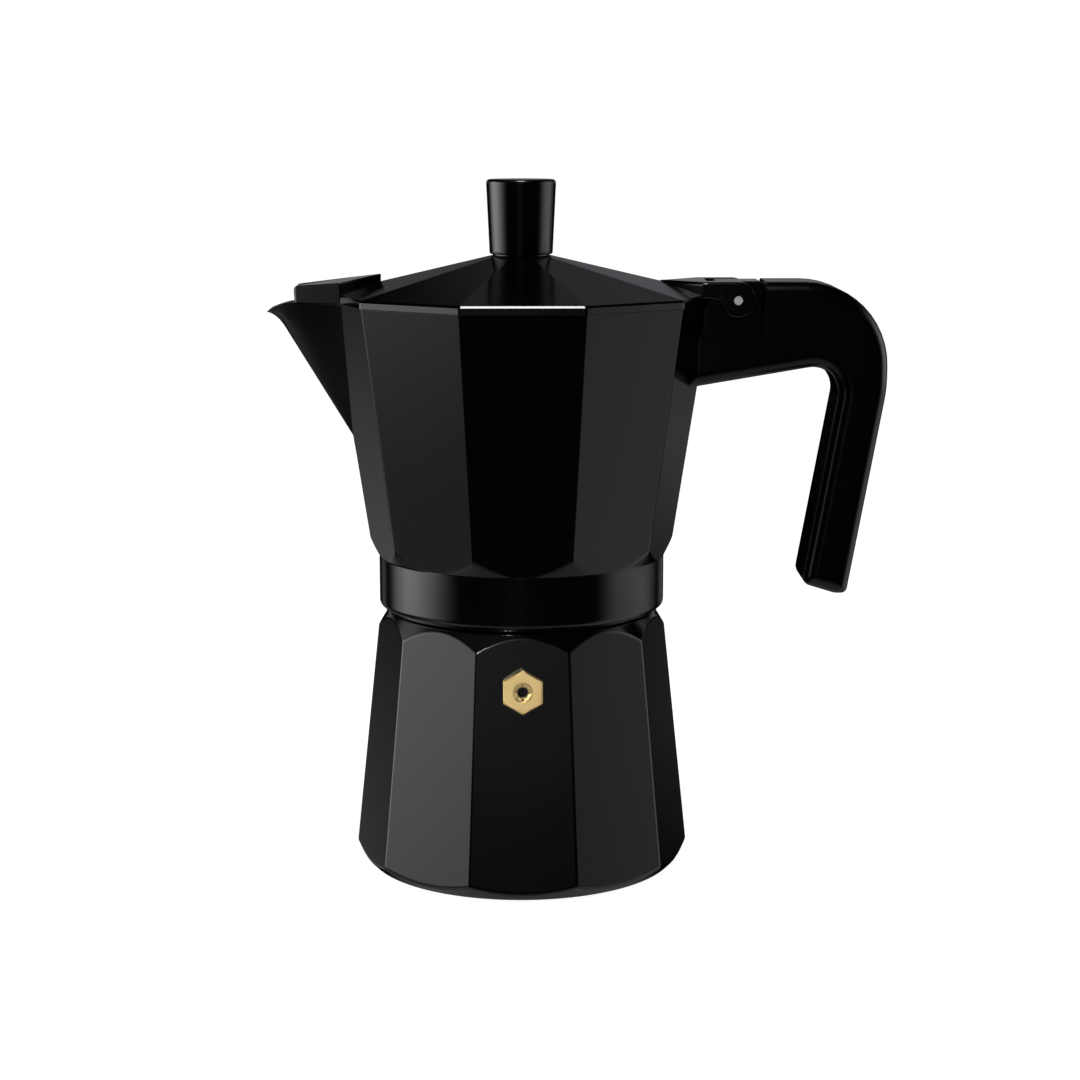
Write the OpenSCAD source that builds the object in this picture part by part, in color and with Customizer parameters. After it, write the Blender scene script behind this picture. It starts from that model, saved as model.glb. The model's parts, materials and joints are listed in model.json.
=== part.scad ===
// Stovetop moka pot: a ten-sided aluminium boiler with a safety valve, a coffee funnel,
// a screwed-on ten-sided collector with a beak spout, and a hinged lid over it.
// The pot stands on z = 0 with its axis on Z, the spout on -X and the handle on +X.

/* [Boiler] */
// Corner radius of the boiler at the top of its bottom chamfer
boiler_r = 49; // [48:0.25:51]
// Height at which the boiler's corners meet the sloping shoulder
boiler_h = 70.3; // [66:0.1:78]
// Inward lean of the boiler's facets, in degrees
boiler_lean = 5.75; // [5:0.05:6]
// Height of the 45 degree chamfer under the facets
chamfer_h = 4.5; // [3:0.1:6]
// Wall thickness at the middle of a boiler facet
boiler_wall = 3.6; // [3:0.1:4]
// Thickness of the boiler's floor
boiler_floor = 4; // [3:0.1:6]
// Radius of the shoulder's top edge
shoulder_r = 38.8; // [38.4:0.1:39.6]
// Height of the sloping shoulder
shoulder_h = 4.6; // [4:0.1:5.5]
// Outer radius of the boiler's neck
neck_r = 36; // [35.6:0.1:36.6]
// Bore radius of the boiler's neck
neck_bore = 31.5; // [30.5:0.1:32]
// Height of the neck above the shoulder
neck_h = 11.1; // [9:0.1:13]

/* [Safety valve] */
// Height of the valve's axis where it crosses the facet
valve_z = 59.65; // [50:0.1:62]
// Size of the valve's hexagon across flats
valve_af = 11; // [9:0.1:12]
// Height of the hexagon in front of the facet
valve_head = 3.5; // [3:0.1:5]
// Radius of the shank that screws through the wall
valve_shank_r = 4; // [3.5:0.1:4.5]
// Length of the shank behind the facet
valve_shank = 6.5; // [6:0.1:8]
// Radius of the bore that holds the ball and the spring
valve_bore = 2.3; // [2.1:0.05:2.6]
// Radius of the hole under the ball
valve_seat = 1.2; // [1:0.05:1.4]
// Radius of the hole in the staked ring
valve_eye = 1.5; // [1.2:0.05:1.7]
// Thickness of the staked ring
valve_ring_t = 0.6; // [0.5:0.05:0.8]
// Radius of the spring's wire
spring_wire = 0.25; // [0.2:0.01:0.3]
// Free travel of the ball against its spring
ball_travel = 0.8; // [0.5:0.05:0.9]

/* [Funnel] */
// Depth of the coffee cup below its flange
cup_depth = 27; // [22:0.5:30]
// Sheet thickness of the cup
cup_wall = 0.8; // [0.6:0.1:1]
// Width of the cup's flange outside the cup
flange_w = 3; // [2.5:0.1:3.5]
// Outer radius of the funnel's stem
stem_r = 4.5; // [4.2:0.1:5.5]
// Bore radius of the funnel's stem
stem_bore = 3.6; // [3.3:0.1:3.8]
// Gap between the stem's lower end and the boiler's floor
stem_gap = 4.5; // [3:0.5:8]

/* [Seal and filter] */
// Outer radius of the gasket
gasket_r = 33.2; // [32.6:0.1:33.6]
// Inner radius of the gasket
gasket_bore = 25.5; // [25:0.1:27]
// Thickness of the gasket
gasket_t = 3; // [2.5:0.1:3.5]
// Sheet thickness of the filter plate and of the funnel's disc
sheet_t = 0.8; // [0.6:0.1:1]
// Radius of one hole in the filter plate and in the funnel's disc
hole_r = 0.75; // [0.6:0.05:0.9]
// Rings of holes around the middle one
hole_rings = 4; // [3:1:5]

/* [Collector] */
// Outer radius of the round collar
collar_r = 41.55; // [41:0.05:42.2]
// Height of the collar
collar_h = 16.7; // [16:0.1:19]
// Height of the collar's bottom chamfer
collar_chamfer = 2.7; // [2:0.1:3]
// Height of the collector from the collar's foot to the rim
collector_h = 90.2; // [84:0.2:100]
// Corner radius of the collector at its rim
rim_r = 54.83; // [54:0.1:56.5]
// Outward lean of the collector's facets, in degrees
collector_lean = 8.28; // [8:0.05:8.6]
// Wall thickness of the chamber at the middle of a facet
collector_wall = 2.8; // [2.4:0.1:3.2]
// Thickness of the chamber's floor above the filter plate
chamber_floor = 6; // [5:0.1:8]
// Height of the coffee column above the chamber's floor
column_h = 54; // [40:1:60]
// Outer radius of the column at its foot
column_r = 8; // [7:0.1:9]
// Outer radius of the column at its top
column_top_r = 5.5; // [5.2:0.1:6.5]
// Bore radius of the column
column_bore = 3.5; // [3.2:0.1:3.8]

/* [Spout] */
// Reach of the spout's tip outside the rim's corner
spout_reach = 18.4; // [16:0.1:21]
// Half width of the spout at the rim
spout_half = 11.5; // [10:0.1:12]
// Drop of the tip below the rim
spout_drop = 3.1; // [2.5:0.1:4]
// Height of the spout from its lowest point to the rim
spout_h = 39; // [34:0.5:42]
// Wall thickness of the spout
spout_wall = 2; // [1.6:0.1:2.4]

/* [Lid] */
// Height of the lid's upright edge band
lid_band = 2.15; // [1.8:0.05:3]
// Slope of the lid's roof at the middle of a facet, in degrees
lid_slope = 13.76; // [12.5:0.1:15]
// Sheet thickness of the lid
lid_wall = 2; // [1.8:0.1:2.4]
// Half width of the spout's hood and of the hinge fork
hood_half = 12; // [12:0.1:13]
// Reach of the hood's blunt front outside the rim's corner
hood_reach = 10.2; // [9:0.1:11]
// Half width of the hood's blunt front
hood_tip = 4.3; // [3.5:0.1:6]
// Height of the hood's front wall
hood_front_h = 5.2; // [4.6:0.1:6]
// Height of the hinge fork's flat top above the rim
fork_h = 5.9; // [5.5:0.1:6.4]

/* [Hinge] */
// Distance of the hinge pin outside the rim's corner
hinge_out = 6.67; // [6.4:0.01:7.2]
// Height of the hinge pin above the rim
hinge_up = 0.7; // [0.4:0.05:1]
// Radius of the hinge pin
pin_r = 1.25; // [1:0.05:1.5]
// Half width of the collector's lug between the fork's cheeks
lug_half = 6.4; // [5.5:0.1:7]
// Reach of the lug past the hinge pin
lug_reach = 7.5; // [7:0.1:8]
// Depth of the lug below the rim
lug_depth = 15.3; // [14.5:0.1:16.5]

/* [Handle] */
// Half width of the handle
handle_half = 12; // [11:0.1:13]
// Reach of the handle outside the rim's corner
handle_reach = 49.97; // [45:0.1:54]
// Height of the handle from its lowest point to its flat top
handle_h = 90.2; // [84:0.2:96]
// Radius of the handle's outer top bend
handle_bend = 24; // [20:0.5:26]
// Depth of the lower end of that bend below the rim
bend_drop = 25.5; // [22:0.5:28]
// Width of the grip, level, at its top
grip_w = 12.8; // [12:0.1:16]
// Height of the arm where it leaves the collector
arm_h = 30.3; // [28:0.1:31.5]
// Depth of the side pockets that take the fork's cheeks
pocket_depth = 15.5; // [14.5:0.1:16]
// Thread radius of the handle's screw and of the knob's screw
screw_r = 2; // [1.6:0.1:2.2]
// Head radius of the same screws
screw_head_r = 3.5; // [3:0.1:3.7]

/* [Knob] */
// Radius of the knob at its foot
knob_r = 9.05; // [8.4:0.05:10]
// Radius of the knob at its top
knob_top_r = 10.05; // [9:0.05:11]
// Height of the knob above its neck
knob_h = 21.3; // [17:0.1:24]
// Radius of the knob's neck
knob_neck_r = 8.2; // [5:0.1:8.3]
// Height of the neck, the dark groove under the knob
knob_neck_h = 0.4; // [0.3:0.1:1.5]
// Radius of the threaded insert in the knob
insert_r = 3.2; // [3:0.1:4]

/* [Fits] */
// Gap between flat faces that only rest on each other
rest_gap = 0.1; // [0.05:0.05:0.2]
// Gap between the boiler's shoulder and the collar
collar_gap = 0.2; // [0.1:0.05:0.4]
// Gap between the collector's rim and the lid
lid_gap = 0.3; // [0.2:0.05:0.4]
// Radial clearance of the hinge pin in the cheeks
pin_fit = 0.05; // [0.02:0.01:0.09]
// Clearance at the sides of the lug, the cup and the gasket
side_fit = 0.3; // [0.2:0.05:0.4]

/* [Hidden] */
$fn = 96;
// Flat sides of the pot, and the size of the blocks that cut them
sides = 10;
cut = 480;
half_step = 180 / sides;
apothem_share = cos(half_step);
// Levels of the boiler and of what stacks on its neck
z_shoulder = boiler_h + shoulder_h;
z_neck = z_shoulder + neck_h;
z_flange = z_neck + rest_gap;
z_gasket = z_flange + cup_wall + rest_gap;
z_plate = z_gasket + gasket_t + rest_gap;
z_ceiling = z_plate + sheet_t + rest_gap;
z_chamber = z_ceiling + chamber_floor;
// Levels of the collector and of the lid
z_collar = z_shoulder + collar_gap;
z_collar_top = z_collar + collar_h;
z_rim = z_collar + collector_h;
z_lid = z_rim + lid_gap / 2;
z_edge = z_rim + lid_band;
// Corner radii: the boiler's at its top, the collector's and the lid's at any height
boiler_taper = tan(boiler_lean) / apothem_share;
collector_taper = tan(collector_lean) / apothem_share;
boiler_top_r = boiler_r - boiler_taper * (boiler_h - chamfer_h);
function boiler_apothem(z) = (boiler_r - boiler_taper * (z - chamfer_h)) * apothem_share;
function collector_apothem(z) = (rim_r - collector_taper * (z_rim - z)) * apothem_share;
lid_apothem = collector_apothem(z_edge);
lid_corner = lid_apothem / apothem_share;
z_apex = z_edge + lid_apothem * tan(lid_slope);
// The knob's seat is a small flat on the lid's top
knob_seat_r = knob_r + 0.15;
z_seat = z_apex - (knob_seat_r - 1) * tan(lid_slope);
z_seat_under = z_seat - lid_wall - 0.3;
z_knob = z_seat + knob_neck_h;
// The cone that carries the facets down to the collar
cone_slope = 0.62;
outer_r = rim_r + 6;
// The valve's own frame: its origin is on the facet and its +Z points outwards
valve_y = boiler_apothem(valve_z);
ball_r = valve_bore - side_fit;
ball_z = -valve_shank + 1.7 + sqrt(pow(ball_r, 2) - pow(valve_seat, 2)) + 0.05;
spring_r = valve_bore - side_fit - spring_wire - 0.2;
spring_z = ball_z + sqrt(pow(ball_r, 2) - pow(spring_r, 2)) + spring_wire + 0.1;
ring_z = valve_head - valve_ring_t - 0.3;
spring_end = ring_z - ball_travel - spring_wire - 0.12;
spring_turns = 4;
// Hinge, lug and handle places
pin_x = rim_r + hinge_out;
pin_z = z_rim + hinge_up;
z_top = z_rim + fork_h;
knuckle_r = z_top - pin_z;
lug_x = pin_x + lug_reach;
z_lug = z_rim - lug_depth;
slot_x = pin_x - knuckle_r - 3.4;
tongue_x = pin_x - knuckle_r - 1.1;
handle_x = rim_r + handle_reach;
z_handle = z_top - 0.1;
grip_lean = 10.2;
arm_rise = 9.5;
z_pocket = z_top - pocket_depth;
screw_x = pin_x - 1.5;
z_screw_seat = z_lug - 4;
// Shared columns of the hood and of the fork, where their walls cross the lid's edge
hood_x = lid_corner - hood_half * tan(half_step);
hood_inner = hood_x - hood_half + 0.8;

// Everything outside ten facets that lean outwards going up, from `apothem` at height z
module facet_cuts(apothem, z, lean) {
    for (i = [0 : sides - 1])
        rotate([0, 0, (2 * i + 1) * half_step])
            translate([apothem, 0, z])
                rotate([0, lean, 0])
                    translate([0, -cut / 2, -cut / 2]) cube(cut);
}

// Moves a piece of the valve from its own frame to the front facet
module on_valve_axis() {
    translate([0, -valve_y, valve_z]) rotate([90 - boiler_lean, 0, 0]) children();
}

module ring(r, bore, h) {
    rotate_extrude() translate([bore, 0]) square([r - bore, h]);
}

// A middle hole and rings of six, twelve, eighteen holes and so on, out to radius r
module perforations(r, h) {
    for (k = [0 : hole_rings])
        for (i = [0 : max(6 * k, 1) - 1])
            rotate([0, 0, 60 * i / max(k, 1)])
                translate([r * k / hole_rings, 0, 0]) cylinder(r = hole_r, h = h, $fn = 24);
}

// A closed outline whose corners [x, y, r] are rounded to radius r
function unit(v) = v / norm(v);
function corner_arc(c, i) =
    let (n = len(c), p = [c[i].x, c[i].y], r = c[i].z,
         a = c[(i + n - 1) % n], b = c[(i + 1) % n],
         u = unit([a.x, a.y] - p), v = unit([b.x, b.y] - p),
         half = acos(u * v) / 2,
         middle = p + unit(u + v) * r / sin(half),
         from = p + u * r / tan(half) - middle,
         turn = (180 - 2 * half) * (u.x * v.y - u.y * v.x > 0 ? -1 : 1),
         steps = max(2, ceil(abs(turn) / 7)))
    r == 0 ? [p] : [for (k = [0 : steps]) let (w = turn * k / steps)
        middle + [from.x * cos(w) - from.y * sin(w), from.x * sin(w) + from.y * cos(w)]];
function rounded(c) = [for (i = [0 : len(c) - 1]) each corner_arc(c, i)];

module boiler() {
    side_r = boiler_r + 5;
    shoulder_slope = shoulder_h / (boiler_top_r - shoulder_r);
    floor_r = boiler_apothem(boiler_floor + 6) - boiler_wall;
    color("black") difference() {
        rotate_extrude() polygon([
            [0, 0], [boiler_r - chamfer_h, 0], [side_r, side_r - boiler_r + chamfer_h],
            [side_r, boiler_h - (side_r - boiler_top_r) * shoulder_slope],
            [shoulder_r, z_shoulder], [neck_r, z_shoulder], [neck_r, z_neck - 0.6],
            [neck_r - 0.6, z_neck], [0, z_neck]]);
        facet_cuts(boiler_apothem(0), 0, -boiler_lean);
        rotate_extrude() polygon([
            [0, boiler_floor], [floor_r - 5, boiler_floor], [floor_r - 1.5, boiler_floor + 1.5],
            [floor_r, boiler_floor + 6], [boiler_apothem(boiler_h - 9) - boiler_wall, boiler_h - 9],
            [neck_bore, boiler_h + 1], [neck_bore, z_neck + 1], [0, z_neck + 1]]);
        on_valve_axis() translate([0, 0, -valve_shank - 3]) cylinder(r = valve_shank_r, h = 30);
    }
}

module valve_body() {
    color("goldenrod") on_valve_axis() difference() {
        union() {
            // The hexagon stands on a corner
            rotate([0, 0, 30]) cylinder(r = valve_af / sqrt(3), h = valve_head, $fn = 6);
            translate([0, 0, -valve_shank]) cylinder(r = valve_shank_r, h = valve_shank + 1);
        }
        translate([0, 0, 1.7 - valve_shank]) cylinder(r = valve_bore, h = 30);
        translate([0, 0, -valve_shank - 1]) cylinder(r = valve_seat, h = 10);
    }
}

module valve_ball() {
    color("silver") on_valve_axis() translate([0, 0, ball_z]) sphere(r = ball_r);
}

// A round wire wound on a helix around the valve's axis
module valve_spring() {
    around = 8;
    steps = spring_turns * 16;
    rise = spring_end - spring_z;
    points = [for (i = [0 : steps]) for (k = [0 : around - 1])
        let (w = 360 * spring_turns * i / steps, q = 360 * k / around,
             r = spring_r + spring_wire * cos(q))
        [r * cos(w), r * sin(w), spring_z + rise * i / steps + spring_wire * sin(q)]];
    skin = [for (i = [0 : steps - 1]) for (k = [0 : around - 1])
        let (a = i * around + k, b = i * around + (k + 1) % around)
        [a, b, b + around, a + around]];
    caps = [[for (k = [around - 1 : -1 : 0]) k], [for (k = [0 : around - 1]) steps * around + k]];
    color("silver") on_valve_axis() polyhedron(points, concat(skin, caps));
}

module valve_ring() {
    color("darkgoldenrod") on_valve_axis()
        translate([0, 0, ring_z]) ring(valve_bore, valve_eye, valve_ring_t);
}

// Levels of the funnel, which hangs by its flange on the neck
cup_r = neck_bore - side_fit - 0.2;
z_cup = z_flange - cup_depth;
z_disc = z_cup + 4;
module funnel_cup() {
    inner = cup_r - cup_wall;
    top = z_flange + cup_wall;
    color("silver") rotate_extrude() polygon([
        [cup_r + flange_w, z_flange], [cup_r + flange_w, top], [inner, top],
        [inner, z_disc], [inner - 2, z_disc], [stem_r + 3, z_cup + cup_wall],
        [stem_r, z_cup + cup_wall], [stem_r, z_cup - 2], [stem_r + cup_wall, z_cup - 2],
        [stem_r + cup_wall, z_cup], [stem_r + 3, z_cup], [cup_r - 1.5, z_disc - cup_wall],
        [cup_r, z_disc], [cup_r, z_flange]]);
}

module funnel_stem() {
    z_end = boiler_floor + stem_gap;
    color("silver") translate([0, 0, z_end]) ring(stem_r, stem_bore, z_cup + cup_wall - z_end);
}

module funnel_disc() {
    r = cup_r - cup_wall;
    color("gainsboro") difference() {
        translate([0, 0, z_disc]) cylinder(r = r, h = sheet_t);
        translate([0, 0, z_disc - 1]) perforations(r - 4, sheet_t + 2);
    }
}

module gasket() {
    color("ivory") translate([0, 0, z_gasket]) ring(gasket_r, gasket_bore, gasket_t);
}

module filter_plate() {
    color("silver") difference() {
        translate([0, 0, z_plate]) cylinder(r = gasket_r - 0.2, h = sheet_t);
        translate([0, 0, z_plate - 1]) perforations(gasket_bore - 3, sheet_t + 2);
    }
}

// The spout is the hull of its rim outline and of its keel; inset makes the channel in it
module spout_shape(inset) {
    length = spout_reach - 2.4 - inset;
    half = spout_half - inset;
    root = rim_r - 3.5;
    rim = z_rim - lid_gap / 2 + (inset > 0 ? 2 : 0);
    keel_x = rim_r + spout_reach - 4.8 - 1.3 * inset;
    root_z = z_rim - spout_h + 2.4 * inset;
    root_x = rim_r - collector_taper * spout_h;
    hull() {
        translate([0, 0, rim - 0.02]) linear_extrude(0.02) polygon([
            for (s = [-1 : 0.1 : 1]) let (t = 1 - abs(s))
                [-root - (length + 3.5) * t, sign(s) * half * pow(1 - pow(t, 1.6), 1 / 1.6)],
            [inset > 0 ? 6 - root : -root, half], [inset > 0 ? 6 - root : -root, -half]]);
        rotate([90, 0, 0]) linear_extrude(0.02, center = true) polygon([
            [-root, rim], [-rim_r - spout_reach + 1.6 * inset, z_rim - spout_drop + 0.6 * inset],
            [-keel_x - 1.3, z_rim - 4.9 + 0.8 * inset], [-keel_x, z_rim - 6.8 + 0.8 * inset],
            [-root_x + inset, root_z], [inset > 0 ? 6 - root_x : 1 - root_x, root_z]]);
    }
}

// The outside of the ten-sided chamber, grown sideways by `grow`, from z_from to z_to
module chamber_outside(grow, z_from, z_to) {
    difference() {
        translate([0, 0, z_from]) cylinder(r = outer_r, h = z_to - z_from);
        facet_cuts(collector_apothem(0) + grow, 0, collector_lean);
    }
}

module lug_solid(side, far, top) {
    translate([0, -lug_half - side, 0]) rotate([90, 0, 0]) mirror([0, 0, 1])
        linear_extrude(2 * (lug_half + side)) polygon(rounded([
            [rim_r - 8, z_lug - side, 0], [lug_x + far, z_lug - side, 0],
            [lug_x + far, top, 1], [tongue_x, top, 1],
            [tongue_x, z_rim - lid_gap / 2, 0], [rim_r - 8, z_rim - lid_gap / 2, 0]]));
}

module collector() {
    z_top_rim = z_rim - lid_gap / 2;
    bore_r = neck_r + 1.2;
    z_bore = z_gasket + 0.6;
    cone_top = z_collar_top + (outer_r - collar_r) / cone_slope;
    wall_foot = collector_apothem(z_chamber) - collector_wall;
    color("black") difference() {
        union() {
            rotate_extrude() polygon([
                [0, z_collar], [collar_r - collar_chamfer, z_collar],
                [collar_r, z_collar + collar_chamfer], [collar_r, z_collar_top], [0, z_collar_top]]);
            difference() {
                rotate_extrude() polygon([
                    [0, z_collar_top - 1], [collar_r, z_collar_top - 1], [collar_r, z_collar_top],
                    [outer_r, cone_top], [outer_r, z_top_rim], [0, z_top_rim]]);
                difference() {
                    facet_cuts(collector_apothem(0), 0, collector_lean);
                    cylinder(r = outer_r + 2, h = z_collar_top);
                }
            }
            lug_solid(0, 0, z_top - 0.1);
        }
        rotate_extrude() polygon([
            [0, z_chamber], [wall_foot - 5, z_chamber], [wall_foot - 1.5, z_chamber + 1.5],
            [wall_foot, z_chamber + 5],
            [collector_apothem(z_rim) - collector_wall, z_rim], [collector_apothem(z_rim) - collector_wall, z_rim + 9],
            [0, z_rim + 9]]);
        spout_shape(spout_wall);
        rotate_extrude() polygon([
            [0, z_collar - 1], [bore_r, z_collar - 1], [bore_r, z_bore],
            [gasket_r + side_fit, z_bore], [gasket_r + side_fit, z_ceiling],
            [gasket_bore, z_ceiling], [gasket_bore - 6, z_ceiling + 1.5], [0, z_ceiling + 2]]);
        cylinder(r = column_r - 2, h = z_chamber + 1);
        translate([pin_x, 0, pin_z]) rotate([90, 0, 0]) cylinder(r = pin_r, h = cut, center = true);
        translate([screw_x, 0, 0]) cylinder(r = screw_r, h = z_lug + 9);
    }
}

// The spout is cast in one with the collector; it is its own solid from the facets outwards
module spout() {
    color("black") difference() {
        spout_shape(0);
        spout_shape(spout_wall);
        chamber_outside(0, z_collar_top, z_rim + 5);
    }
}

module coffee_column() {
    z_column = z_chamber + column_h;
    color("silver") difference() {
        rotate_extrude() polygon([
            [0, z_ceiling + 2], [column_r - 2, z_ceiling + 2], [column_r - 2, z_chamber],
            [column_r, z_chamber], [column_top_r, z_column - 2], [column_top_r - 1.6, z_column - 0.4],
            [0, z_column]]);
        translate([0, 0, z_ceiling]) cylinder(r = column_bore, h = z_column - 3 - z_ceiling);
        translate([-cut / 2, -2.2, z_column - 8]) cube([cut, 4.4, 5]);
    }
}

module hinge_pin() {
    color("lightgrey") translate([pin_x, 0, pin_z]) rotate([90, 0, 0])
        cylinder(r = pin_r, h = 2 * hood_half - 0.6, center = true);
}

module handle() {
    inner_x = handle_x - grip_w;
    grip_run = z_rim - bend_drop - (z_handle - handle_h);
    foot_x = handle_x - grip_run * tan(grip_lean);
    z_foot = z_handle - handle_h;
    arm_out = inner_x + 0.4 - rim_r + 8;
    elbow = [inner_x + 0.5, z_handle - arm_h + arm_out * tan(arm_rise)];
    heel_x = elbow.x - (elbow.y - z_foot - 3.5) * tan(grip_lean);
    outline = rounded([
        [rim_r - 8, z_handle, 0], [handle_x, z_handle, handle_bend], [handle_x, z_rim - bend_drop, 40],
        [foot_x, z_foot, 1.8], [foot_x - 4, z_foot, 5], [heel_x + 0.4, z_foot + 2.6, 2.5],
        [heel_x + 0.1, z_foot + 5, 2], [elbow.x, elbow.y, 7.3], [rim_r - 8, z_handle - arm_h, 0]]);
    pocket_wall = lug_x - 0.9;
    color("dimgray") difference() {
        rotate([90, 0, 0]) linear_extrude(2 * handle_half, center = true) polygon(outline);
        chamber_outside(0.05, z_rim - 60, z_rim + 20);
        // Everything above the pockets' floor in front of their sloping wall
        rotate([90, 0, 0]) linear_extrude(cut, center = true) polygon([
            [0, z_pocket], [pocket_wall, z_pocket], [pocket_wall + 1.7, z_top + 1], [0, z_top + 1]]);
        lug_solid(0.05, 0.05, z_top + 9);
        translate([screw_x, 0, 0]) cylinder(r = screw_r + 0.2, h = z_top);
        translate([screw_x, 0, 0]) cylinder(r = screw_head_r + 0.4, h = z_screw_seat);
    }
}

module handle_screw() {
    color("silver") translate([screw_x, 0, 0]) {
        translate([0, 0, z_screw_seat - 2.4]) cylinder(r = screw_head_r, h = 2.4);
        translate([0, 0, z_screw_seat]) cylinder(r = screw_r, h = z_lug + 8 - z_screw_seat);
    }
}

// Kite plan of the spout's hood, drawn inwards by `inset`
module hood_plan(inset) {
    front = rim_r + hood_reach - inset;
    tip = hood_tip - 0.58 * inset;
    polygon([
        [-front, 0.4 - tip], [-front + 0.4, -tip - 0.2], [-hood_x, inset * 1.4 - hood_half],
        [-hood_inner - inset * 1.4, 0], [-hood_x, hood_half - inset * 1.4],
        [-front + 0.4, tip + 0.2], [-front, tip - 0.4]]);
}

// Upright walls on the kite plan under a top that rises gently inwards
module hood_solid(inset) {
    z_front = z_rim + hood_front_h - inset;
    difference() {
        translate([0, 0, z_lid]) linear_extrude(20) hood_plan(inset);
        translate([-rim_r - hood_reach, -cut / 2, z_front]) rotate([0, -5.45, 0]) cube(cut);
        translate([-rim_r - hood_reach - cut / 2, -cut / 2, z_front]) cube([cut / 2 + 1, cut, cut]);
    }
}

module lid() {
    hollow_r = lid_apothem - 3;
    z_cheek = pin_z + 0.3;
    color("black") difference() {
        union() {
            difference() {
                union() {
                    difference() {
                        translate([0, 0, z_lid]) cylinder(r = outer_r, h = z_seat - z_lid);
                        facet_cuts(collector_apothem(0), 0, collector_lean);
                        for (i = [0 : sides - 1])
                            rotate([0, 0, (2 * i + 1) * half_step]) translate([lid_apothem, 0, z_edge])
                                rotate([0, lid_slope, 0]) translate([-cut / 2, -cut / 2, 0]) cube(cut);
                    }
                    hood_solid(0);
                }
                // The hollow under the roof follows its slope
                rotate_extrude() polygon([
                    [0, z_lid - 1], [hollow_r, z_lid - 1], [hollow_r, z_lid],
                    [knob_seat_r, z_lid + (hollow_r - knob_seat_r) * tan(lid_slope)],
                    [knob_seat_r - 1, z_seat_under], [0, z_seat_under]]);
                translate([0, 0, -1]) hood_solid(lid_wall - 0.2);
                translate([0, 0, -2]) hood_solid(lid_wall - 0.2);
            }
            // The fork: a pointed flat plate and two round cheeks
            translate([0, 0, z_cheek]) linear_extrude(z_top - z_cheek) polygon([
                [hood_inner, 0], [hood_x, hood_half], [pin_x, hood_half],
                [pin_x, -hood_half], [hood_x, -hood_half]]);
            translate([pin_x, 0, pin_z]) rotate([90, 0, 0])
                cylinder(r = knuckle_r, h = 2 * hood_half, center = true);
        }
        translate([slot_x, -lug_half - 0.2, 0]) cube([cut, 2 * lug_half + 0.4, cut]);
        translate([pin_x, 0, pin_z]) rotate([90, 0, 0])
            cylinder(r = pin_r + pin_fit, h = cut, center = true);
        cylinder(r = screw_r + 0.2, h = z_apex);
    }
}

module knob() {
    top = z_knob + knob_h;
    color("dimgray") difference() {
        rotate_extrude() polygon(concat(
            [[0, z_seat], [knob_neck_r, z_seat], [knob_neck_r, z_knob]],
            [for (w = [0 : 15 : 90]) [knob_r - 0.7 + 0.7 * sin(w), z_knob + 0.7 - 0.7 * cos(w)]],
            [for (w = [0 : 15 : 90]) [knob_top_r - 1.2 + 1.2 * cos(w), top - 1.2 + 1.2 * sin(w)]],
            [[0, top]]));
        translate([0, 0, z_seat - 1]) cylinder(r = insert_r, h = 11);
    }
}

module knob_insert() {
    color("goldenrod") translate([0, 0, z_seat]) ring(insert_r, screw_r, 10);
}

module knob_washer() {
    color("silver") translate([0, 0, z_seat_under - 1]) ring(screw_head_r + 1.4, screw_r + 0.2, 1);
}

module knob_screw() {
    color("silver") {
        translate([0, 0, z_seat_under - 3.2]) cylinder(r = screw_head_r, h = 2.2);
        translate([0, 0, z_seat_under - 1]) cylinder(r = screw_r, h = z_seat + 8 - z_seat_under + 1);
    }
}

boiler();
valve_body();
valve_ball();
valve_spring();
valve_ring();
funnel_cup();
funnel_stem();
funnel_disc();
gasket();
filter_plate();
collector();
spout();
coffee_column();
hinge_pin();
handle();
handle_screw();
lid();
knob();
knob_insert();
knob_washer();
knob_screw();
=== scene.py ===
"""Stovetop moka pot: the looks of every piece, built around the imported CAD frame.

Lengths are in millimetres and become metres when a mesh is made. The pot's axis is Z, the spout is on -X,
the hinge and the handle are on +X, and the safety valve is on -Y.
"""
import bpy
import bmesh
import json
import math
import numpy as np
from mathutils import Matrix, Vector


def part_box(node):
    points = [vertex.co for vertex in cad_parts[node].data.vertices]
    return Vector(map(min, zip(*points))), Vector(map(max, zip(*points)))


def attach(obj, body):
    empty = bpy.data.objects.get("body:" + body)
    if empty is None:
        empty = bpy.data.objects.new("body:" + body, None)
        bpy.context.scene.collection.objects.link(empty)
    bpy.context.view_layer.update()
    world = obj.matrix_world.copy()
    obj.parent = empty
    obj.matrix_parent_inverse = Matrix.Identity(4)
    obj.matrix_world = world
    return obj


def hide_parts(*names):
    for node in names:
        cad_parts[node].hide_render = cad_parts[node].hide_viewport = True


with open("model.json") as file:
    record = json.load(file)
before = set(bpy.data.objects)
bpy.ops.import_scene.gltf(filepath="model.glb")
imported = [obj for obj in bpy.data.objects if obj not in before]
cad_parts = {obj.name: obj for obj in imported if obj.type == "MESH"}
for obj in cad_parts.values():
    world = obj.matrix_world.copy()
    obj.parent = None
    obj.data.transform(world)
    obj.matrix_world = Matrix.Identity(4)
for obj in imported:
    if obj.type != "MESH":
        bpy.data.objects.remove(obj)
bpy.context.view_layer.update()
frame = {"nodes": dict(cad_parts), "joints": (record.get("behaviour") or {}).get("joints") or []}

MM = 0.001


# ---------------------------------------------------------------- sizes, from the frame and a few leans

def low(node, axis):
    """The least coordinate of a CAD node along an axis, in millimetres."""
    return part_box(node)[0][axis] / MM


def high(node, axis):
    """The greatest coordinate of a CAD node along an axis, in millimetres."""
    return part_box(node)[1][axis] / MM


SIDES = 10
SECTOR = 2 * math.pi / SIDES
COS_HALF = math.cos(SECTOR / 2)
TAN_HALF = math.tan(SECTOR / 2)
EDGE = 1.3                       # radius of the upright edges between two facets

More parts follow.
